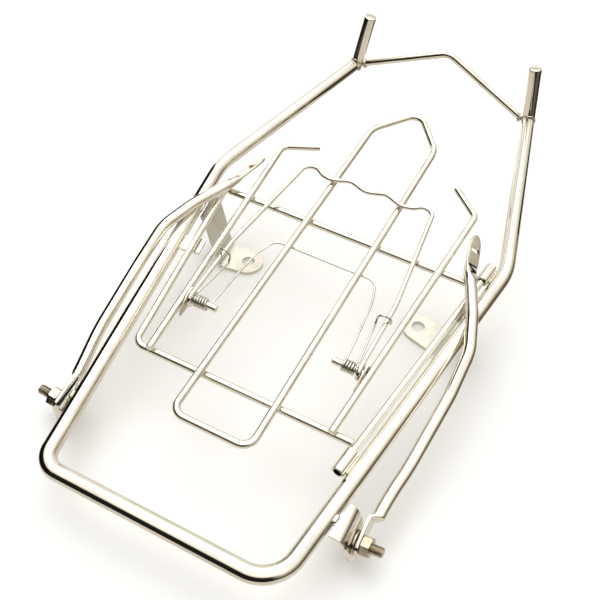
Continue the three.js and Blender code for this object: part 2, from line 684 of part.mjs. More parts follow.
function strut(side) {
  const line = new THREE.CurvePath();
  const raw = strutCentre(side);
  for (let i = 0; i < raw.length - 1; i++) {
    line.add(new THREE.LineCurve3(raw[i], raw[i + 1]));
  }
  const length = line.getLength();
  const tip = THREE.MathUtils.degToRad(40);
  // [distance from the pivot end, width, thickness, roundness, twist, outward shift]
  // The right blade is pressed flush with its tube's inner wall, so the tube stands off outward.
  const off = STRUT_SHIFT[hand(side)];
  const stations = [
    [0, 7, STRUT_T, 0, 80, 0], [2.4, 12, STRUT_T, 0, 80, 0], [6, 14.4, STRUT_T, 0, 80, 0],
    [14, 14.4, STRUT_T, 0, 80, 0], [22, 13.8, STRUT_T, 0, 80, 0], [27, 12.8, STRUT_T, 0, 80, 0],
    [28.6, 11.8, 6, 0.5, 80, 0.43 * off], [30.4, 10.4, 9.2, 0.95, 80, 0.9 * off],
    [32, 10, 10, 1, 80, off], [37, 10, 10, 1, 80, 0.8 * off], [46, 10, 10, 1, 80, 0.5 * off],
    [56, 10, 10, 1, 80, 0.25 * off], [66, 10, 10, 1, 80, 0.1 * off], [76, 10, 10, 1, 80, 0],
  ];
  for (let k = 1; k < 19; k++) {
    stations.push([76 + ((length - 76 - 52) * k) / 19, 10, 10, 1, 80 - k * 2, 0]);
  }
  stations.push(
    [length - 52, 10, 10, 1, 40, 0], [length - 42, 11.2, 6, 0.4, 40, 0],
    [length - 33, 12.4, 2.6, 0, 40, 0], [length - 18, 12.8, 2.6, 0, 40, 0],
    [length - 8, 11, 2.6, 0, 40, 0], [length - 3, 7.5, 2.6, 0, 40, 0], [length, 3.4, 2.6, 0, 40, 0],
  );
  const path = stations.map(([d]) => line.getPointAt(Math.min(1, d / length)));
  const round = [0, 26, 52, 78, 102, 128, 154, 180, 206, 232, 258, 282, 308, 334]
    .map((d) => THREE.MathUtils.degToRad(d)).map((a) => [STRUT_R * Math.cos(a), STRUT_R * Math.sin(a)]);
  const geometry = sweep(path, (i) => {
    const [, w, t, k, twist, shift] = stations[i];
    const flat = rectangle(w, t);
    const shape = mix(flat, round, k).map(([u, v]) => [u, v + shift]);
    return turned(shape, -side * THREE.MathUtils.degToRad(twist));
  });
  const boreA = cutter(onBolt(side, STRUT_AT - 6), onBolt(side, STRUT_AT + 6), BOLT_R + GAP, 16);
  const at = line.getPointAt((length - 17) / length);
  const ahead = line.getPointAt((length - 12) / length).sub(at).normalize();
  const upward = V(0, 0, 1).addScaledVector(ahead, -ahead.z).normalize();
  const out = ahead.clone().cross(upward).multiplyScalar(-side * Math.sin(tip));
  const face = upward.clone().multiplyScalar(Math.cos(tip)).add(out);
  const boreB = cutter(at.clone().addScaledVector(face, -5), at.clone().addScaledVector(face, 5), 3.2, 16);
  return fromManifold(toManifold(geometry).subtract(boreA).subtract(boreB));
}

// ---- paired parts -------------------------------------------------------------------
const HEX = circle(7.5, 6);
for (const [side, name] of [[-1, "left"], [1, "right"]]) {
  add(`${name}_end_peg`, peg(side), CHROME);
  add(`${name}_mount_tab`, tab(side), CHROME, new THREE.Matrix4());
  add(`${name}_strut_lug`, lug(side), CHROME);
  add(`${name}_pivot_bolt`, bolt(side), ZINC);
  add(`${name}_pivot_washer`, ring(side, WASHER_AT, WASHER_AT + 1.6, circle(9, 20), BOLT_R + GAP), ZINC);
  add(`${name}_pivot_nut`, ring(side, NUT_AT, NUT_AT + 6.5, HEX, BOLT_R + GAP), ZINC);
  add(`${name}_hook_rod`, hookRod(side), CHROME);
  add(`${name}_pivot_pin`, pivotPin(side), CHROME);
  add(`${name}_pin_bracket`, pinBracket(side), ZINC);
  add(`${name}_spring_arm`, springArm(side), SPRING);
  add(`${name}_strut`, strut(side), CHROME);
}

export default group;
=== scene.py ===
# Folding luggage rack: bright plated tube and rod, spring clip, swing-over stays.
import math
import bpy
import bmesh
from math import cos, pi, radians, sin, sqrt
from mathutils import Matrix, Vector, noise

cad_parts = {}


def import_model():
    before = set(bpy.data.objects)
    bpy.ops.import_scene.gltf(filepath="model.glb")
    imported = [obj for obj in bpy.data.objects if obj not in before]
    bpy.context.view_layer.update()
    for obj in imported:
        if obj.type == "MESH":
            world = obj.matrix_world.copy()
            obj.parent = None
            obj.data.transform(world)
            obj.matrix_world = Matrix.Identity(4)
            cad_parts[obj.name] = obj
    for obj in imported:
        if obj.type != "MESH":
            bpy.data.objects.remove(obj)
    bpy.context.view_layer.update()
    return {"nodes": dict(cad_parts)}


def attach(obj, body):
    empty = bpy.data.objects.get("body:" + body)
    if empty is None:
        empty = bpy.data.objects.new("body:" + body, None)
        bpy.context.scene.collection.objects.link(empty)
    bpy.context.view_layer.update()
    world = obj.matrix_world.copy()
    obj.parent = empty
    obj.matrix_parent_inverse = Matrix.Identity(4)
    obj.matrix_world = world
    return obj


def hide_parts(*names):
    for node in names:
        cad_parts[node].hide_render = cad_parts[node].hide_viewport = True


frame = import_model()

scene = bpy.context.scene
nodes = frame["nodes"]

# ---- the rack's own frame: millimetres in the plane of the main tube ---------------------
# x goes to the side, y away from the near bar, z up square to the plane
PITCH = radians(5)
DROP = 34.75
Y_MID = 260.15
GAP = 0.3
SIDES = ((-1, "left"), (1, "right"))

# stock
TUBE_R = 6.5
ROD_R = 3
WIRE_R = 2
SPRING_R = 0.9
PEG_R = 6.2
ARCH_R = 3.4
PIN_R = 3
BOLT_R = 3.9
PLATE_T = 3
STRUT_T = 3

# main tube; pairs are left and right
NEAR_Y, NEAR_HALF = -1.5, 92.5
BEND_Y, BEND_HALF, BEND_R = 321, 138, 70
TIP_Y, TIP_HALF = 522, 93
CORNER_R = (15.5, 27)
SIDE_TAN = (BEND_HALF - NEAR_HALF) / BEND_Y
SIDE_ANGLE = math.atan(SIDE_TAN)
PEG_H, PEG_LEAN = 54.5, 8
ARCH_OUT, ARCH_H = 8.4, 38
ARCH_FOOT = ((0.6, 0), (-0.4, -3))

# tray
ROD_Z = 3.5
LOOP_Z = ROD_Z + 2 * ROD_R + GAP
CROSS_NEAR_Y, CROSS_FAR_Y = 113.5, 291.5
EDGE_NEAR_HALF, EDGE_FAR_HALF = 92, 116.5
KNUCKLE_R, KNUCKLE_BORE = 5, 3.4
KNUCKLES = (("near", 86, 106), ("far", 297, 316))
HINGE_OFF = TUBE_R + KNUCKLE_R + GAP
LOOP_HALF, LOOP_NEAR_Y, LOOP_FAR_Y, LOOP_PEAK_Y = 32, 72, 423, 466
HOOK_NEAR_HALF, HOOK_BEND_HALF, HOOK_BEND_Y = 77, 94.5, 360
HOOK_TIP = ((63.5, 375), (68, 385))
REST_Y = 222

# clip and spring
CLIP_Y, CLIP_FAR_Y, CLIP_HALF = 167, 343, 73.3
PIN_TIP = 50.5
EYE_R = PIN_R + GAP + WIRE_R
CLIP_Z = LOOP_Z + EYE_R
COIL_R = PIN_R + 0.45 + SPRING_R
COIL_TURNS = 5
COIL_OUT = 69.5
COIL_IN = COIL_OUT - COIL_TURNS * 2 * (SPRING_R + 0.12)
BRIDGE_Z = LOOP_Z - ROD_R - SPRING_R - GAP
ARM_HOOK_R = 5.5

# tabs, lugs, pivots and stays; pairs are left and right
TAB_Y = (270, 269)
LUG_Y, LUG_OUT = (54.5, 58), (17.8, 20.6)
BOLT_Z = -20.5
BOLT_END = (23.4, 22.2)
FLARE = radians(10)
WASHER_T, WASHER_R, WASHER_BORE = 1.6, 9, 4.2
WASHER_AT = PLATE_T / 2 + GAP
STRUT_AT = WASHER_AT + WASHER_T + GAP + STRUT_T / 2
NUT_AT = STRUT_AT + STRUT_T / 2 + GAP
NUT_H, HEAD_H, HEX_ACROSS, NUT_BORE = 6.5, 5, 13, 3.95
THREAD_PITCH, THREAD_DEPTH = 1.25, 0.55
STRUT_SET = ((2.2, -3.5, 0.7), (1.2, -1, -0.3))
STRUT_SHIFT = (0, 3.5)
TIP_TWIST = 40
TIP_HOLE_R = 3.2


def V(x, y, z):
    return Vector((x, y, z))


def world(p):
    """Rack millimetres to scene metres."""
    return V(p[0], p[1] * cos(PITCH) - p[2] * sin(PITCH) - Y_MID,
             p[1] * sin(PITCH) + p[2] * cos(PITCH) + DROP) / 1000


def world_turn(v):
    """A direction, turned but not moved."""
    return world(v) - world(V(0, 0, 0))


def rail_x(y):
    """Distance of a side rail's axis from the middle."""
    return NEAR_HALF + SIDE_TAN * y


def beside_rail(side, y, out, z, along=0):
    """Point out from a side rail's axis, and along it."""
    c, s = cos(SIDE_ANGLE), sin(SIDE_ANGLE)
    return V(side * (rail_x(y) + out * c + along * s), y - out * s + along * c, z)


def hinge_point(y):
    """Point on the axis that the tray hangs on."""
    return beside_rail(1, y, -HINGE_OFF, ROD_Z)


def hand(side):
    """Place of a side's value in a left and right pair."""
    return 0 if side < 0 else 1


# ---- materials ---------------------------------------------------------------------------
def tree(name):
    """New material with one Principled shader."""
    m = bpy.data.materials.new(name)
    m.use_nodes = True
    nt = m.node_tree
    nt.nodes.clear()
    out = nt.nodes.new("ShaderNodeOutputMaterial")
    shader = nt.nodes.new("ShaderNodeBsdfPrincipled")
    nt.links.new(shader.outputs[0], out.inputs[0])
    return m, nt, shader


def node(nt, kind, **values):
    """New node; values are inputs by name, or else properties."""
    n = nt.nodes.new(kind)
    for k, v in values.items():
        if k in n.inputs:
            n.inputs[k].default_value = v
        else:
            setattr(n, k, v)
    return n


def spread(nt, source, lo, hi, a=0.3, b=0.7):
    """Goes from lo to hi while source goes from a to b."""
    n = node(nt, "ShaderNodeMapRange")
    nt.links.new(source, n.inputs["Value"])
    n.inputs["From Min"].default_value = a
    n.inputs["From Max"].default_value = b
    n.inputs["To Min"].default_value = lo
    n.inputs["To Max"].default_value = hi
    return n.outputs[0]


def ramp(nt, source, stops):
    """Colour ramp from (position, colour) stops."""
    n = node(nt, "ShaderNodeValToRGB")
    nt.links.new(source, n.inputs[0])
    e = n.color_ramp.elements
    while len(e) > 1:
        e.remove(e[-1])
    e[0].position, e[0].color = stops[0][0], (*stops[0][1], 1)
    for pos, col in stops[1:]:
        new = e.new(pos)
        new.color = (*col, 1)
    return n.outputs[0]


def rougher(nt, under, height, strength, depth):
    """Bump laid over another one."""
    bump = node(nt, "ShaderNodeBump", Strength=strength, Distance=depth)
    nt.links.new(height, bump.inputs["Height"])
    nt.links.new(under.outputs[0], bump.inputs["Normal"])
    return bump


def plated(name, bright, dull, rough, scratch=0.06, wave=0.02, pits=0.0):
    """Plated metal: cloudy tint, uneven polish, drawn lines along the bar, tiny pits."""
    m, nt, shader = tree(name)
    shader.inputs["Metallic"].default_value = 1.0
    place = node(nt, "ShaderNodeTexCoord").outputs["Object"]
    run = node(nt, "ShaderNodeUVMap", uv_map="run").outputs[0]
    cloud = node(nt, "ShaderNodeTexNoise", Scale=38.0, Detail=4.0, Roughness=0.6)
    nt.links.new(place, cloud.inputs["Vector"])
    nt.links.new(ramp(nt, cloud.outputs[0], [(0.32, dull), (0.62, bright)]), shader.inputs["Base Color"])
    smear = node(nt, "ShaderNodeTexNoise", Scale=210.0, Detail=3.0, Roughness=0.65)
    nt.links.new(place, smear.inputs["Vector"])
    nt.links.new(spread(nt, smear.outputs[0], *rough), shader.inputs["Roughness"])
    # drawn lines: noise stretched along the bar
    stretch = node(nt, "ShaderNodeMapping")
    stretch.inputs["Scale"].default_value = (9.0, 420.0, 1.0)
    nt.links.new(run, stretch.inputs["Vector"])
    lines = node(nt, "ShaderNodeTexNoise", Scale=1.0, Detail=5.0, Roughness=0.7)
    nt.links.new(stretch.outputs[0], lines.inputs["Vector"])
    swell = node(nt, "ShaderNodeTexNoise", Scale=70.0, Detail=1.0)
    nt.links.new(place, swell.inputs["Vector"])
    surface = node(nt, "ShaderNodeBump", Strength=wave, Distance=0.002)
    nt.links.new(swell.outputs[0], surface.inputs["Height"])
    surface = rougher(nt, surface, lines.outputs[0], scratch, 0.0001)
    if pits:
        dots = node(nt, "ShaderNodeTexVoronoi", Scale=900.0)
        nt.links.new(place, dots.inputs["Vector"])
        surface = rougher(nt, surface, spread(nt, dots.outputs[0], 0.0, 1.0, 0.0, 0.35), pits, 0.0002)
    nt.links.new(surface.outputs[0], shader.inputs["Normal"])
    return m


NICKEL = plated("bright_nickel", (0.80, 0.765, 0.69), (0.70, 0.66, 0.575), (0.05, 0.12))
PLATE = plated("plated_sheet", (0.79, 0.755, 0.68), (0.67, 0.63, 0.545), (0.12, 0.24), 0.05, 0.05)
# tabs: the lugs' plating, rougher, with its colour darkened as painted shade for the tab's duller tone
SHADED_TAB_PLATE = plated("plated_tab_painted_shade", (0.66, 0.635, 0.565), (0.56, 0.53, 0.455), (0.34, 0.46), 0.05, 0.05)
HARDWARE = plated("zinc_hardware", (0.56, 0.51, 0.42), (0.36, 0.30, 0.22), (0.16, 0.32), 0.08, 0.03, 0.05)
WELD = plated("weld_bead", (0.74, 0.69, 0.59), (0.42, 0.37, 0.29), (0.14, 0.32), 0.03, 0.12, 0.25)
SPRING = plated("spring_wire", (0.66, 0.64, 0.59), (0.45, 0.42, 0.37), (0.16, 0.30), 0.05, 0.02)

# ---- mesh helpers ------------------------------------------------------------------------
def fillet(points, radii, closed=False, step=3.0):
    """Rounds a path's corners with arcs, step degrees at a time."""
    out = []
    n = len(points)
    for i, p in enumerate(points):
        r = radii[i]
        if not r or (not closed and i in (0, n - 1)):
            out.append(p.copy())
            continue
        a = (points[i - 1] - p).normalized()
        b = (points[(i + 1) % n] - p).normalized()
        turn = pi - a.angle(b)
        mid = (a + b).normalized()
        centre = p + mid * (r / cos(turn / 2))
        start = p + a * (r * math.tan(turn / 2)) - centre
        axis = start.cross(p - centre).normalized()
        steps = max(3, math.ceil(math.degrees(turn) / step))
        for k in range(steps + 1):
            out.append(Matrix.Rotation(turn * k / steps, 3, axis) @ start + centre)
    return out


def finer(path, step, closed=False):
    """Adds points so that no stretch is longer than step."""
    out = []
    n = len(path)
    for i in range(n if closed else n - 1):
        a, b = path[i], path[(i + 1) % n]
        parts = max(1, math.ceil((b - a).length / step))
        out += [a.lerp(b, k / parts) for k in range(parts)]
    if not closed:
        out.append(path[-1])
    return out


def distances(path):
    """How far along the path each of its points is."""
    run = [0.0]
    for a, b in zip(path, path[1:]):
        run.append(run[-1] + (b - a).length)
    return run


def ring_of(r, sides):
    return [(r * cos(2 * pi * j / sides), r * sin(2 * pi * j / sides)) for j in range(sides)]


def circle(centre, u, w, r, sides):
    """Points round a circle in the plane of u and w."""
    return [centre + u * a + w * b for a, b in ring_of(r, sides)]


def skin(bm, rings, closed=False):
    """Joins rings of vertices; the ends are capped, or joined to each other."""
    pairs = list(zip(rings, rings[1:]))
    if closed:
        pairs.append((rings[-1], rings[0]))
    for p, q in pairs:
        for k in range(len(p)):
            bm.faces.new((p[k - 1], q[k - 1], q[k], p[k]))
    if not closed:
        bm.faces.new(rings[0])
        bm.faces.new(list(reversed(rings[-1])))


def finish_mesh(name, bm, material, body, stands_for=None, sharp=38, place=world):
    """Makes the piece: placed, shaded, named, hiding the frame part it stands for, and riding on its body."""
    if place:
        for v in bm.verts:
            v.co = place(v.co)
    bmesh.ops.recalc_face_normals(bm, faces=bm.faces)
    me = bpy.data.meshes.new(name)
    bm.to_mesh(me)
    bm.free()
    for poly in me.polygons:
        poly.use_smooth = True
    me.set_sharp_from_angle(angle=radians(sharp))
    me.materials.append(material)
    ob = bpy.data.objects.new(name, me)
    scene.collection.objects.link(ob)
    if stands_for:
        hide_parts(stands_for)
    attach(ob, body)
    return ob


def sweep_into(bm, path, shape, closed=False, up=None):
    """Rings along a path; shape(i) gives each ring. Its run layer follows the path, for the drawn lines."""
    uv = bm.loops.layers.uv.get("run") or bm.loops.layers.uv.new("run")
    n = len(path)
    normal = (up or V(0, 0, 1)).copy()
    rings = []
    dist = distances(path)
    for i in range(n):
        prev = path[i - 1] if (closed or i) else path[0]
        nxt = path[(i + 1) % n] if (closed or i < n - 1) else path[-1]
        t = (nxt - prev).normalized()
        normal = (normal - t * normal.dot(t)).normalized()
        across = t.cross(normal)
        rings.append([bm.verts.new(path[i] + across * u + normal * v) for u, v in shape(i)])
    if closed:
        dist.append(dist[-1] + (path[0] - path[-1]).length)
    m = len(rings[0])
    for i in range(n if closed else n - 1):
        a, b = rings[i], rings[(i + 1) % n]
        for j in range(m):
            k = (j + 1) % m
            f = bm.faces.new((a[j], b[j], b[k], a[k]))
            corners = ((dist[i], j), (dist[i + 1], j), (dist[i + 1], j + 1), (dist[i], j + 1))
            for loop, (d, w) in zip(f.loops, corners):
                loop[uv].uv = (d / 100, w / m * 0.3)
    if not closed:
        bm.faces.new(rings[0])
        bm.faces.new(list(reversed(rings[-1])))


def chamfered(path, r, cut):
    """Path and ring radii of a bar whose ends are broken by a small round."""
    def rounded(end, inner):
        """The end's rings, from the cap to the full radius."""
        inward = (inner - end).normalized() * cut
        angles = [radians(a) for a in (90, 67.5, 45, 22.5, 0)]
        return [(end + inward * (1 - sin(a)), r - cut * (1 - cos(a))) for a in angles]
    head = rounded(path[0], path[1])
    tail = list(reversed(rounded(path[-1], path[-2])))
    rings = head + [(p, r) for p in path[1:-1]] + tail
    return [p for p, _ in rings], [k for _, k in rings]


def bar(name, path, r, body, material=NICKEL, stands_for=None, sides=28, cut=0.6, closed=False, up=None,
        step=8, dent=0.0):
    """Round bar along a path, with softened ends; dent makes its thickness a little uneven."""
    bm = bmesh.new()
    path = finer(path, step, closed)
    if closed:
        radii = [r] * len(path)
    else:
        path, radii = chamfered(path, r, cut)

    def shape(i):
        k = 1.0 + dent * noise.noise(path[i] * 0.013)
        return [(u * k, v * k) for u, v in ring_of(radii[i], sides)]
    sweep_into(bm, path, shape, closed, up)
    return finish_mesh(name, bm, material, body, stands_for)


def bead(name, path, r, body, closed=False, seed=0.0):
    """Weld bead: a low ridge with the ripples the arc leaves."""
    ripple = 1.7
    bm = bmesh.new()
    path = finer(path, 0.45, closed)
    run = distances(path)

    def shape(i):
        wave = 0.5 + 0.5 * abs(sin(pi * run[i] / ripple + seed))
        rough = noise.noise(path[i] * 0.55 + V(seed * 7, 3, 1))
        end = 1.0
        if not closed:
            e = min(run[i], run[-1] - run[i]) / (r * 1.3)
            end = sqrt(max(0.02, 1 - (1 - min(1.0, e)) ** 2))
        return ring_of(r * end * (0.86 + 0.16 * (wave + rough)), 12)
    sweep_into(bm, path, shape, closed)
    return finish_mesh(name, bm, WELD, body, sharp=80)


def nugget(bm, at, along, up, size, seed):
    """Small squeezed blob where two crossing rods are fused."""
    side = along.cross(up).normalized()
    made = bmesh.ops.create_icosphere(bm, subdivisions=3, radius=1.0)
    for v in made["verts"]:
        c = v.co.copy()
        k = 1 + 0.16 * noise.noise(c * 1.7 + V(seed, seed * 2.3, 0))
        v.co = at + (along * c.x * size[0] + side * c.y * size[1] + up * c.z * size[2]) * k


def from_cad(name, cad, material, bevel, segments=3):
    """Copy of a flat piece of the frame with its edges broken by a small round."""
    me = nodes[cad].data.copy()
    bm = bmesh.new()
    bm.from_mesh(me)
    bmesh.ops.remove_doubles(bm, verts=bm.verts, dist=2e-6)
    bmesh.ops.dissolve_limit(bm, angle_limit=radians(1.5), verts=bm.verts, edges=bm.edges)
    uv = bm.loops.layers.uv.get("run") or bm.loops.layers.uv.new("run")
    for f in bm.faces:
        for loop in f.loops:
            c = loop.vert.co
            loop[uv].uv = (c.y * 10, (c.x + c.z) * 10)
    edges = [e for e in bm.edges if len(e.link_faces) == 2 and e.calc_face_angle(0) > radians(32)]
    bmesh.ops.bevel(bm, geom=edges, offset=bevel / 1000, segments=segments, profile=0.7,
                    affect="EDGES", clamp_overlap=True)
    bpy.data.meshes.remove(me)
    return finish_mesh(name, bm, material, "frame", cad, sharp=28, place=None)


# ---- main frame --------------------------------------------------------------------------
def frame_path():
    def tip(side):
        d = V(side * (BEND_HALF - TIP_HALF), BEND_Y - TIP_Y, 0).normalized()
        return V(side * TIP_HALF, TIP_Y, 0) + d * (PEG_R + GAP)
    corners = [tip(-1), V(-BEND_HALF, BEND_Y, 0), V(-rail_x(NEAR_Y), NEAR_Y, 0),
               V(rail_x(NEAR_Y), NEAR_Y, 0), V(BEND_HALF, BEND_Y, 0), tip(1)]
    return fillet(corners, [0, BEND_R, *CORNER_R, BEND_R, 0])


bar("frame_tube", frame_path(), TUBE_R, "frame", stands_for="main_frame_tube", sides=48, cut=0.8, dent=0.006)


def peg_line(side):
    """Foot and top of a peg's axis."""
    return V(side * (TIP_HALF + 1), TIP_Y, -TUBE_R), V(side * (TIP_HALF - PEG_LEAN), TIP_Y + 5, PEG_H)


def arch_foot(side):
    """End of the peaked wire, at a peg."""
    foot, top = peg_line(side)
    on = foot.lerp(top, (TUBE_R + 2) / (TUBE_R + PEG_H))
    return on + V(-side * (PEG_R + GAP + 2), *ARCH_FOOT[hand(side)])


ARCH_PEAK = V(0, TIP_Y + ARCH_OUT, ARCH_H)
bar("peaked_wire", fillet([arch_foot(-1), ARCH_PEAK, arch_foot(1)], [0, 14, 0]), ARCH_R, "frame",
    stands_for="peaked_cross_wire", cut=0.3)


def peg_weld_line(side):
    """Saddle-shaped ring round the tube's end, where it meets the peg."""
    foot, top = peg_line(side)
    lean = (top - foot).normalized()
    back = V(side * (BEND_HALF - TIP_HALF), BEND_Y - TIP_Y, 0).normalized()
    flat = (back - lean * back.dot(lean)).normalized()
    across = lean.cross(flat)
    centre = foot + lean * (TUBE_R + 0.2)
    ring = []
    for w, h in ring_of(TUBE_R, 40):
        w *= 0.93
        h *= 0.98
        depth = sqrt(max(0.0, (PEG_R + 0.25) ** 2 - min(abs(w), PEG_R) ** 2))
        ring.append(centre + across * w + lean * h + flat * (depth - 0.1))
    return ring


def arch_weld_line(side):
    """Ring round the peaked wire's end."""
    end = arch_foot(side)
    inner = (ARCH_PEAK - end).normalized()
    u = inner.cross(V(0, 1, 0)).normalized()
    return circle(end - inner * 0.6, u, inner.cross(u), ARCH_R - 0.4, 30)


for side, name in SIDES:
    bar(f"{name}_peg", peg_line(side), PEG_R, "frame", stands_for=f"{name}_end_peg", sides=40, cut=1.1,
        up=V(0, 1, 0))
    bead(f"{name}_peg_weld", peg_weld_line(side), 0.8, "frame", closed=True, seed=side)
    bead(f"{name}_arch_weld", arch_weld_line(side), 2.0, "frame", closed=True, seed=2 + side)

# ---- tray --------------------------------------------------------------------------------
joint_x = hinge_point(CROSS_NEAR_Y + 1).x
EDGE = fillet([V(joint_x - ROD_R - GAP - 0.8, CROSS_NEAR_Y, ROD_Z), V(-EDGE_NEAR_HALF, CROSS_NEAR_Y, ROD_Z),
               V(-EDGE_FAR_HALF, CROSS_FAR_Y + 3, ROD_Z)], [0, 9, 0])
bar("near_and_edge_rod", EDGE, ROD_R, "frame", stands_for="near_cross_and_edge_rod", cut=0.3, dent=0.008)
far_right = hinge_point(CROSS_FAR_Y + 1).x - ROD_R - GAP - 0.8
far_left = -EDGE_FAR_HALF + ROD_R + GAP + 0.9
bar("far_rod", [V(far_left, CROSS_FAR_Y, ROD_Z), V(far_right, CROSS_FAR_Y, ROD_Z)], ROD_R, "frame",
    stands_for="far_cross_rod", cut=0.3, dent=0.008)
bar("hinge_bar", [hinge_point(98), hinge_point(316)], ROD_R, "frame", stands_for="hinge_rod", cut=0.7,
    dent=0.006)
LOOP = fillet([V(x, y, LOOP_Z) for x, y in
               ((-LOOP_HALF, LOOP_NEAR_Y), (LOOP_HALF, LOOP_NEAR_Y), (LOOP_HALF, LOOP_FAR_Y),
                (0, LOOP_PEAK_Y), (-LOOP_HALF, LOOP_FAR_Y))], [10, 10, 26, 11, 26], closed=True)
bar("loop_rod", LOOP, ROD_R, "frame", stands_for="centre_loop", closed=True, dent=0.008)


def hook_x(y):
    """Distance of a hook rod from the middle."""
    t = (y - CROSS_NEAR_Y) / (HOOK_BEND_Y - CROSS_NEAR_Y)
    return HOOK_NEAR_HALF + (HOOK_BEND_HALF - HOOK_NEAR_HALF) * t


for side, name in SIDES:
    tip_x, tip_y = HOOK_TIP[hand(side)]
    start_y = CROSS_NEAR_Y - 3
    hook = fillet([V(side * hook_x(start_y), start_y, LOOP_Z), V(side * HOOK_BEND_HALF, HOOK_BEND_Y, LOOP_Z),
                   V(side * tip_x, tip_y, LOOP_Z)], [0, 9, 0])
    bar(f"{name}_hook", hook, ROD_R, "frame", stands_for=f"{name}_hook_rod", cut=0.5, dent=0.008)
    root_x = hook_x(CLIP_Y) - ROD_R - GAP - 0.25
    bar(f"{name}_pin", [V(side * root_x, CLIP_Y, LOOP_Z), V(side * PIN_TIP, CLIP_Y, LOOP_Z)],
        PIN_R, "frame", stands_for=f"{name}_pivot_pin", cut=0.8, step=3)
    from_cad(f"{name}_bracket", f"{name}_pin_bracket", HARDWARE, bevel=0.2, segments=2)

# fused crossings of the tray rods
bm = bmesh.new()
level = ROD_Z + ROD_R + GAP / 2
spot = 0
for y in (CROSS_NEAR_Y, CROSS_FAR_Y):
    for x in (-LOOP_HALF, LOOP_HALF, -hook_x(y), hook_x(y)):
        spot += 1
        nugget(bm, V(x, y, level), V(1, 0, 0), V(0, 0, 1), (2.5, 2.5, 1.3), spot * 1.7)
bm.loops.layers.uv.new("run")
finish_mesh("tray_fusion_spots", bm, WELD, "frame", sharp=80)


def butt_weld(name, x, y, seed):
    """Bead round the end of a cross rod."""
    ring = circle(V(x, y, ROD_Z), V(0, -1, 0), V(0, 0, -1), ROD_R * 0.95, 32)
    bead(name, ring, 0.9, "frame", closed=True, seed=seed)


butt_weld("near_rod_hinge_weld", joint_x - ROD_R - GAP - 0.1, CROSS_NEAR_Y, 3)
butt_weld("far_rod_hinge_weld", far_right + 0.7, CROSS_FAR_Y, 4)
butt_weld("far_rod_edge_weld", far_left - 0.7, CROSS_FAR_Y, 5)


def rail_weld(name, side, y, out, z, spots, r, seed):
    """Bead along a side rail; spots are distances along it from y."""
    bead(name, [beside_rail(side, y, out * TUBE_R, z, s) for s in spots], r, "frame", seed=seed)


def hinge_tube(label, y0, y1):
    """Open tube round the hinge rod, with a bead along the rail above and under it."""
    start, end = hinge_point(y0), hinge_point(y1)
    length = (end - start).length
    along = (end - start).normalized()
    across = along.cross(V(0, 0, 1)).normalized()
    profile = [(0.3, KNUCKLE_BORE), (0, KNUCKLE_BORE + 0.3), (0, KNUCKLE_R - 0.4), (0.4, KNUCKLE_R),
               (length - 0.4, KNUCKLE_R), (length, KNUCKLE_R - 0.4), (length, KNUCKLE_BORE + 0.3),
               (length - 0.3, KNUCKLE_BORE)]
    bm = bmesh.new()
    bm.loops.layers.uv.new("run")
    skin(bm, [[bm.verts.new(p) for p in circle(start + along * t, across, V(0, 0, 1), r, 40)]
              for t, r in profile], closed=True)
    finish_mesh(f"{label}_hinge_tube", bm, NICKEL, "frame", f"{label}_hinge_knuckle")
    for up, place in ((1, "top"), (-1, "under")):
        line = [beside_rail(1, y0 + 2 + (y1 - y0 - 4) * k / 12, -TUBE_R * 0.92, 1.4 + up * 2.7)
                for k in range(13)]
        bead(f"{label}_hinge_weld_{place}", line, 1.15, "frame", seed=y0 + up)


for knuckle in KNUCKLES:
    hinge_tube(*knuckle)

from_cad("tray_rest", "tray_rest_tab", PLATE, bevel=0.3)
rail_weld("tray_rest_weld", -1, REST_Y, -0.99, -0.4, (-7, -3, 0, 3, 7), 0.9, 9)

# ---- clip --------------------------------------------------------------------------------
def eye(side):
    """Open ring of the clip's wire round its pin."""
    angles = [radians(90 + k * 319 / 60) for k in range(61)]
    return [V(side * CLIP_HALF, CLIP_Y + EYE_R * cos(a), LOOP_Z + EYE_R * sin(a)) for a in angles]


def smooth_through(points, per=6):
    """Catmull-Rom curve through the points."""
    out = []
    n = len(points)
    for i in range(n - 1):
        p0, p1, p2, p3 = points[max(i - 1, 0)], points[i], points[i + 1], points[min(i + 2, n - 1)]
        for k in range(per):
            t = k / per
            out.append(0.5 * ((2 * p1) + (p2 - p0) * t + (2 * p0 - 5 * p1 + 4 * p2 - p3) * t * t
                              + (3 * p1 - p0 - 3 * p2 + p3) * t ** 3))
    out.append(points[-1].copy())
    return out


def clip_path():
    wave = [(-43, -4.5), (-33, -6), (-20, -1), (-14, -0.8), (0, -5.2),
            (14, -0.8), (20, -1), (33, -6), (43, -4.5)]
    crest = smooth_through([V(x, CLIP_FAR_Y + dy, CLIP_Z) for x, dy in wave], 6)

    def leg(side):
        corners = ((CLIP_HALF, CLIP_Y + 0.5), (CLIP_HALF, CLIP_Y + 66), (61.5, CLIP_FAR_Y + 2),
                   (50, CLIP_FAR_Y + 0.5))
        return fillet([V(side * x, y, CLIP_Z) for x, y in corners], [0, 60, 9, 0])
    return list(reversed(eye(-1))) + leg(-1) + crest + list(reversed(leg(1))) + eye(1)


bar("clip_bar", clip_path(), WIRE_R, "clip", stands_for="clip_wire", sides=24, cut=0.4, up=V(1, 0, 0), step=4)

# ---- torsion spring ----------------------------------------------------------------------
def coil(side):
    """Turns of the spring round a pin, from the outside in."""
    turns = COIL_TURNS - 0.5
    steps = round(turns * 40)
    out = []
    for k in range(steps + 1):
        a = radians(90 + k * 360 * turns / steps)
        x = COIL_OUT + (COIL_IN - COIL_OUT) * k / steps
        out.append(V(side * x, CLIP_Y + COIL_R * cos(a), LOOP_Z + COIL_R * sin(a)))
    return out


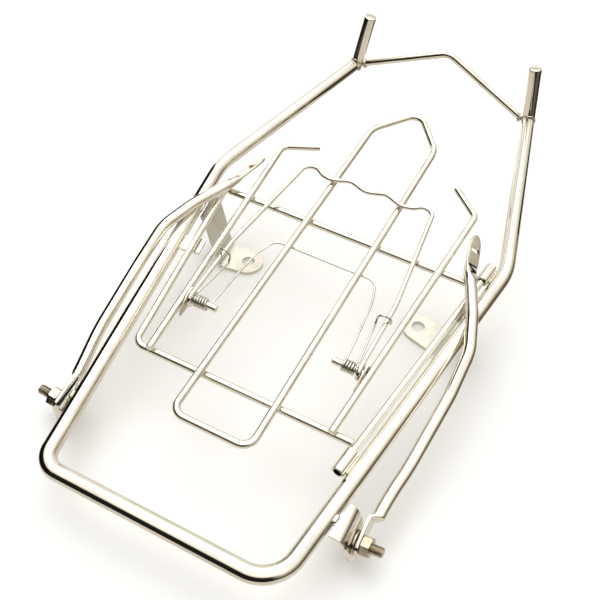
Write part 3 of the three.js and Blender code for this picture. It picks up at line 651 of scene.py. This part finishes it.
def spring_path():
    def half(side):
        turns = coil(side)
        end = turns[-1]
        bridge = [V(side * x, CLIP_Y + y, BRIDGE_Z + z) for x, y, z in
                  ((54, 62, 0.6), (50.5, 77, 0), (47, 85.5, 0), (41, 89, 0))]
        return turns + smooth_through([end, V(end.x - side * 0.6, CLIP_Y + 8, end.z + 0.4), *bridge], 8)[1:]
    return half(-1) + list(reversed(half(1)))


bar("torsion_spring_wire", spring_path(), SPRING_R, "frame", SPRING, "torsion_spring", sides=12, cut=0.2,
    up=V(1, 0, 0), step=6)

for side, name in SIDES:
    hook_at = CLIP_HALF + WIRE_R + SPRING_R + 1.5 * GAP - ARM_HOOK_R
    path = [V(side * (CLIP_HALF - WIRE_R - SPRING_R - GAP), CLIP_Y + 3, LOOP_Z + COIL_R + 1),
            V(side * (hook_at - ARM_HOOK_R), CLIP_Y + 44, CLIP_Z - 3)]
    # the open hook over the clip's leg: 216 degrees
    for k in range(37):
        a = pi - k * radians(6)
        path.append(V(side * (hook_at + ARM_HOOK_R * cos(a)), CLIP_Y + 47 + k * 0.0625,
                      CLIP_Z + 1 + ARM_HOOK_R * sin(a)))
    bar(f"{name}_spring_leg", path, SPRING_R, "clip", SPRING, f"{name}_spring_arm", sides=12, cut=0.2)

# ---- tabs and lugs -----------------------------------------------------------------------
for side, name in SIDES:
    # the tabs take the darkened plating: painted shade
    from_cad(f"{name}_tab", f"{name}_mount_tab", SHADED_TAB_PLATE, bevel=0.5)
    from_cad(f"{name}_lug", f"{name}_strut_lug", PLATE, bevel=0.5)
    y = TAB_Y[hand(side)]
    rail_weld(f"{name}_tab_weld", side, y, -0.99, 0.6, range(-13, 14, 2), 1.2, y)
    y = LUG_Y[hand(side)]
    root = (-4, -2, 0, 2, 4)
    rail_weld(f"{name}_lug_weld", side, y, 0.99, 2.6, root, 1.9, side + 11)
    rail_weld(f"{name}_lug_weld_under", side, y, 0.98, -1.2, root, 1.4, side + 14)


# ---- pivot bolts -------------------------------------------------------------------------
def on_bolt(side, along, u=0.0, v=0.0):
    """Point along the pivot axis from the lug plate, and off it: u along the rack, v up square to it."""
    y = LUG_Y[hand(side)]
    return V(side * (rail_x(y) + LUG_OUT[hand(side)] + along * cos(FLARE) - v * sin(FLARE)), y + u,
             BOLT_Z + along * sin(FLARE) + v * cos(FLARE))


def bolt_piece(name, side, rings, stands_for, bored, sharp):
    """Piece about the pivot axis; rings holds (along, points across the axis) pairs."""
    bm = bmesh.new()
    bm.loops.layers.uv.new("run")
    skin(bm, [[bm.verts.new(on_bolt(side, along, u, v)) for u, v in points] for along, points in rings],
         closed=bored)
    return finish_mesh(name, bm, HARDWARE, "frame", stands_for, sharp=sharp)


def turned(name, side, profile, stands_for=None, sides=48, bored=False):
    """Turned piece; profile is (along, radius) pairs, and comes back round when the piece has a bore."""
    return bolt_piece(name, side, [(o, ring_of(r, sides)) for o, r in profile], stands_for, bored, 30)


def hex_piece(name, side, start, end, stands_for, bore=None):
    """Hexagon with its corners turned off at 30 degrees, and a bore if it is a nut."""
    corner = HEX_ACROSS / sqrt(3)
    sides = 72

    def outline(cap):
        ring = []
        for k in range(sides):
            a = 2 * pi * k / sides
            flat = (HEX_ACROSS / 2) / cos((a % (pi / 3)) - pi / 6)
            r = min(flat, corner * cap)
            ring.append((r * cos(a), r * sin(a)))
        return ring
    rings = [(start, outline(0.93)), (start + 0.45, outline(1.02)), (end - 0.45, outline(1.02)),
             (end, outline(0.93))]
    if bore:
        rings += [(o, ring_of(r, sides)) for o, r in
                  ((end, bore + 0.5), (end - 0.5, bore), (start + 0.5, bore), (start, bore + 0.5))]
    return bolt_piece(name, side, rings, stands_for, bool(bore), 24)


def thread(name, side, start, end):
    """Screw thread as one continuous helical skin."""
    sides = 36
    steps = round((end - start) / (THREAD_PITCH / 10))

    def row(along):
        """One ring of the thread, which fades out over the last 0.9 mm."""
        fade = min(1.0, (end - along) / 0.9)
        ring = []
        for k in range(sides):
            a = 2 * pi * k / sides
            phase = ((along - start) / THREAD_PITCH - k / sides) % 1.0
            cut = abs(phase - 0.5) * 2
            r = BOLT_R - THREAD_DEPTH * max(0.0, min(1.0, (cut - 0.12) / 0.76))
            r = min(r, BOLT_R - 0.75 * (1 - fade))
            ring.append((r * cos(a), r * sin(a)))
        return ring
    places = [start + (end - start) * i / steps for i in range(steps + 1)]
    return bolt_piece(name, side, [(o, row(o)) for o in places], None, False, 40)


for side, name in SIDES:
    head = -PLATE_T / 2 - GAP
    hex_piece(f"{name}_bolt_head", side, head - HEAD_H, head, f"{name}_pivot_bolt")
    turned(f"{name}_bolt_shank", side,
           [(head - 0.2, BOLT_R), (NUT_AT + 0.3, BOLT_R), (NUT_AT + 0.5, BOLT_R - 0.6)])
    thread(f"{name}_bolt_thread", side, NUT_AT + 0.2, BOLT_END[hand(side)])
    inner, outer = WASHER_AT, WASHER_AT + WASHER_T
    turned(f"{name}_washer", side,
           [(inner, WASHER_BORE), (inner, WASHER_R - 0.3), (inner + 0.3, WASHER_R), (outer - 0.3, WASHER_R),
            (outer, WASHER_R - 0.3), (outer, WASHER_BORE)], f"{name}_pivot_washer", sides=64, bored=True)
    hex_piece(f"{name}_nut", side, NUT_AT, NUT_AT + NUT_H, f"{name}_pivot_nut", NUT_BORE)


# ---- struts ------------------------------------------------------------------------------
def strut_line(side):
    """Axis of a stay, from past its pivot to its tip."""
    pivot = on_bolt(side, STRUT_AT)
    dx, dy, dz = STRUT_SET[hand(side)]
    ends = [pivot + V(-side * z * sin(FLARE), y, z * cos(FLARE)) for y, z in ((-8, -1.6), (20, 4))]
    low = V(-133.3, 120, -13.5) if side < 0 else V(134, 122, -13)
    rise = [V(side * 139, 188, -4), V(side * 138.5 + dx / 2, 226 + dy / 2, 7.5 + dz),
            V(side * 127.5 + dx, 258 + dy, 13 + dz), V(side * 111.5 + dx, 296 + dy, 13.2 + dz),
            V(side * 102.5 + dx, 338 + dy, 12.6 + dz)]
    return fillet([*ends, low, *rise], [0, 60, 120, 60, 45, 60, 60, 0])


def section(w, t, k, sides=40):
    """Ring between a flat with rounded edges (k=0) and a circle (k=1)."""
    out = []
    e = 2.0 / (2.0 + (1 - k) * 5.0)
    for j in range(sides):
        a = 2 * pi * j / sides
        c, s = cos(a), sin(a)
        x = w / 2 * math.copysign(abs(c) ** e, c)
        y = t / 2 * math.copysign(abs(s) ** e, s)
        out.append((x, y))
    return out


def strut_stations(length, off):
    """(distance, width, thickness, roundness, twist, outward shift) of a stay's sections.

    The blade at the pivot steps out to the tube, and the tube ends in a narrower blade. With off at
    the right stay's value the pivot blade is flush with the tube's inner wall.
    """
    blade = [(d, w, STRUT_T, 0, 80, 0) for d, w in
             ((0, 5), (0.8, 8.6), (2.4, 12), (6, 14.4), (14, 14.4), (22, 13.8), (27, 12.8))]
    step = [(28.6, 11.8, 6, 0.5, 80, 0.43 * off), (30.4, 10.4, 9.2, 0.95, 80, 0.9 * off)]
    tube = [(d, 10, 10, 1, 80, k * off) for d, k in
            ((32, 1), (37, 0.8), (46, 0.5), (56, 0.25), (66, 0.1), (76, 0))]
    press = [(length - 52, 10, 10, 1, TIP_TWIST, 0), (length - 42, 11.2, 6, 0.4, TIP_TWIST, 0)]
    tip = [(length - d, w, 2.6, 0, TIP_TWIST, 0) for d, w in
           ((33, 12.4), (18, 12.8), (8, 11), (3, 7.8), (1, 5), (0, 3))]
    return blade + step + tube + press + tip


def strut(side, name):
    """Stay: one tube, pressed flat at both ends and drilled at the tip."""
    line = finer(strut_line(side), 1.0)
    run = distances(line)
    length = run[-1]
    stations = strut_stations(length, STRUT_SHIFT[hand(side)])

    def state(d):
        """Section at a distance; the press near the tip starts and stops softly."""
        for p, q in zip(stations, stations[1:]):
            if d <= q[0] + 1e-6:
                t = (d - p[0]) / max(q[0] - p[0], 1e-6)
                s = t * t * (3 - 2 * t) if 5 < q[0] - p[0] < 12 and p[0] > 100 else t
                return [a + (b - a) * (t if i in (0, 4) else s) for i, (a, b) in enumerate(zip(p, q))]
        return list(stations[-1])

    def at(d):
        """Point on the axis at a distance."""
        for i in range(1, len(run)):
            if d <= run[i]:
                return line[i - 1].lerp(line[i], (d - run[i - 1]) / max(run[i] - run[i - 1], 1e-9))
        return line[-1].copy()

    # sections stand 2 mm apart, and closer where the shape turns
    near = [0, 0.3, 0.8, 1.5, 2.4, 4, 6, 25, 27, 27.8, 28.6, 29.5, 30.4, 31.2, 33]
    middle = range(8, math.ceil(length - 9), 2)
    far = [length - k for k in (8, 6, 4.4, 3, 2, 1, 0.5, 0)]
    marks = sorted({*near, *middle, *far})

    def shape(i):
        _, w, t, k, twist, shift = state(marks[i])
        a = -side * radians(twist)
        c, s = cos(a), sin(a)
        return [(u * c - (v + shift) * s, u * s + (v + shift) * c) for u, v in section(w, t, k)]
    bm = bmesh.new()
    sweep_into(bm, [at(d) for d in marks], shape)
    ob = finish_mesh(f"{name}_stay", bm, NICKEL, f"{name}_strut", f"{name}_strut", sharp=40)
    # the drilled hole in the pressed tip
    hole = at(length - 17)
    ahead = (at(length - 12) - hole).normalized()
    upward = (V(0, 0, 1) - ahead * ahead.z).normalized()
    twist = radians(TIP_TWIST)
    drill(ob, hole, upward * cos(twist) + ahead.cross(upward) * (-side * sin(twist)), TIP_HOLE_R)


def drill(ob, at, axis, r):
    """Cuts a round hole through a thin piece."""
    bm = bmesh.new()
    a = axis.normalized()
    u = a.orthogonal().normalized()
    skin(bm, [[bm.verts.new(world(p)) for p in circle(at + a * h, u, a.cross(u), r, 40)] for h in (-4, 4)])
    bmesh.ops.recalc_face_normals(bm, faces=bm.faces)
    me = bpy.data.meshes.new("drill")
    bm.to_mesh(me)
    bm.free()
    tool = bpy.data.objects.new("drill", me)
    scene.collection.objects.link(tool)
    mod = ob.modifiers.new("hole", "BOOLEAN")
    mod.operation = "DIFFERENCE"
    mod.solver = "EXACT"
    mod.object = tool
    bpy.context.view_layer.update()
    cut = bpy.data.meshes.new_from_object(ob.evaluated_get(bpy.context.evaluated_depsgraph_get()))
    ob.modifiers.clear()
    ob.data = cut
    cut.set_sharp_from_angle(angle=radians(40))
    bpy.data.objects.remove(tool)


for side, name in SIDES:
    strut(side, name)

# ---- camera ------------------------------------------------------------------------------
camera_at = V(181.05, -168.83, 534.79)
look_at = V(-0.747, 213.33, 0)
ROLL = 0.0412
LENS = 50.5788
forward = (look_at - camera_at).normalized()
right = forward.cross(V(0, 0, 1)).normalized()
up = right.cross(forward)
right, up = right * cos(ROLL) + up * sin(ROLL), up * cos(ROLL) - right * sin(ROLL)
camera_data = bpy.data.cameras.new("camera")
camera_data.sensor_width = 36
camera_data.lens = LENS
camera_data.clip_start = 0.01
camera = bpy.data.objects.new("camera", camera_data)
scene.collection.objects.link(camera)
axes = [world_turn(v).normalized() for v in (right, up, -forward)]
camera.matrix_world = Matrix.Translation(world(camera_at)) @ Matrix(axes).transposed().to_4x4()
scene.camera = camera

# ---- floor, lights and surroundings ------------------------------------------------------
def staged(name, corners, colour, roughness, specular, seen):
    """Flat card that isn't part of the object; one that isn't seen shows only in the metal."""
    m, _, shader = tree(name)
    shader.inputs["Base Color"].default_value = (*colour, 1)
    shader.inputs["Roughness"].default_value = roughness
    shader.inputs["Specular IOR Level"].default_value = specular
    me = bpy.data.meshes.new(name)
    me.from_pydata(corners, [], [(0, 1, 2, 3)])
    me.materials.append(m)
    ob = bpy.data.objects.new(name, me)
    scene.collection.objects.link(ob)
    ob.visible_glossy = not seen
    ob.visible_camera = seen
    ob.visible_diffuse = seen
    ob.visible_shadow = seen


def level_card(x0, x1, y0, y1, z):
    return [(x0, y0, z), (x1, y0, z), (x1, y1, z), (x0, y1, z)]


def upright_card(x, y0, y1, z0, z1):
    return [(x, y0, z0), (x, y1, z0), (x, y1, z1), (x, y0, z1)]


BLACK = (0.006, 0.0055, 0.0045)
staged("floor", level_card(-4, 4, -4, 4, 0), (0.93, 0.93, 0.925), 0.95, 0.1, True)
# the pale table top that the metal mirrors: it ends close to the rack, and the room is darker past it
staged("table_top", level_card(-0.15, 0.205, -0.36, 0.28, -0.0005), (0.90, 0.86, 0.79), 0.95, 0.1, False)
# dark cards standing on both sides: the metal's black lines are their reflections
staged("left_card", upright_card(-0.26, -0.5, 0.14, -0.005, 0.16), BLACK, 1, 0, False)
staged("right_card", upright_card(0.26, 0.30, 0.9, -0.005, 0.12), BLACK, 1, 0, False)


light = bpy.data.lights.new("over", "AREA")
light.size = 1.6
light.energy = 14
light.color = (1.0, 0.99, 0.97)
over = bpy.data.objects.new("over", light)
over.location = (-0.5, 0.5, 1.6)
over.rotation_euler = (-over.location).to_track_quat("-Z", "Y").to_euler()
scene.collection.objects.link(over)

studio = bpy.data.worlds.new("studio")
scene.world = studio
studio.use_nodes = True
nt = studio.node_tree
nt.nodes.clear()
ray = node(nt, "ShaderNodeTexCoord").outputs["Generated"]
split = node(nt, "ShaderNodeSeparateXYZ")
nt.links.new(ray, split.inputs[0])
height = spread(nt, split.outputs["Z"], 0, 1, -1, 1)


def blend(source, a, b, lo, hi):
    """Goes from a to b while source goes from lo to hi."""
    mix = node(nt, "ShaderNodeMix", data_type="RGBA")
    nt.links.new(spread(nt, source, 0, 1, lo, hi), mix.inputs[0])
    nt.links.new(a, mix.inputs[6])
    nt.links.new(b, mix.inputs[7])
    return mix.outputs[2]


def wall(*stops):
    """Colours up one side of the room; a stop is (z of the direction, colour)."""
    return ramp(nt, height, [((z + 1) / 2, colour) for z, colour in stops])


def choose(ray_kind, other, chosen):
    """One shader for one kind of ray, and another for the rest."""
    mix = node(nt, "ShaderNodeMixShader")
    nt.links.new(path.outputs[ray_kind], mix.inputs[0])
    nt.links.new(other.outputs[0], mix.inputs[1])
    nt.links.new(chosen.outputs[0], mix.inputs[2])
    return mix


# the dark room lies in front and a little to the left; the right is a warm wall, the back a white one
DARK, TAN, PALE, HOT = (0.012, 0.011, 0.009), (0.50, 0.45, 0.36), (0.86, 0.85, 0.81), (1.0, 0.995, 0.975)
front = wall((-0.58, (0.30, 0.275, 0.225)), (-0.44, DARK), (0.52, DARK), (0.60, TAN), (0.70, PALE),
             (0.80, HOT))
back = wall((-1, PALE), (0.42, PALE), (0.50, (0.42, 0.40, 0.36)), (0.56, PALE), (0.66, HOT))
warm = wall((-0.75, (0.20, 0.17, 0.125)), (-0.55, (0.085, 0.072, 0.052)), (-0.05, (0.11, 0.095, 0.07)),
            (0.18, (0.30, 0.26, 0.19)), (0.36, (0.56, 0.51, 0.42)), (0.58, PALE), (0.75, HOT))
toward = node(nt, "ShaderNodeVectorMath", operation="DOT_PRODUCT")
nt.links.new(ray, toward.inputs[0])
toward.inputs[1].default_value = (-0.5, -0.866, 0)
sky = blend(toward.outputs["Value"], blend(split.outputs["X"], back, warm, 0.1, 0.6), front, 0.0, 0.3)
# the metal sees the room, the floor gets even light, and the camera sees white paper
path = node(nt, "ShaderNodeLightPath")
room = node(nt, "ShaderNodeBackground", Strength=1.35)
nt.links.new(sky, room.inputs[0])
fill = node(nt, "ShaderNodeBackground", Color=(1, 0.985, 0.95, 1), Strength=0.95)
paper = node(nt, "ShaderNodeBackground", Color=(1, 1, 1, 1), Strength=1.0)
seen = choose("Is Camera Ray", choose("Is Diffuse Ray", room, fill), paper)
nt.links.new(seen.outputs[0], node(nt, "ShaderNodeOutputWorld").inputs[0])
scene.view_settings.view_transform = "Standard"

bpy.context.view_layer.update()
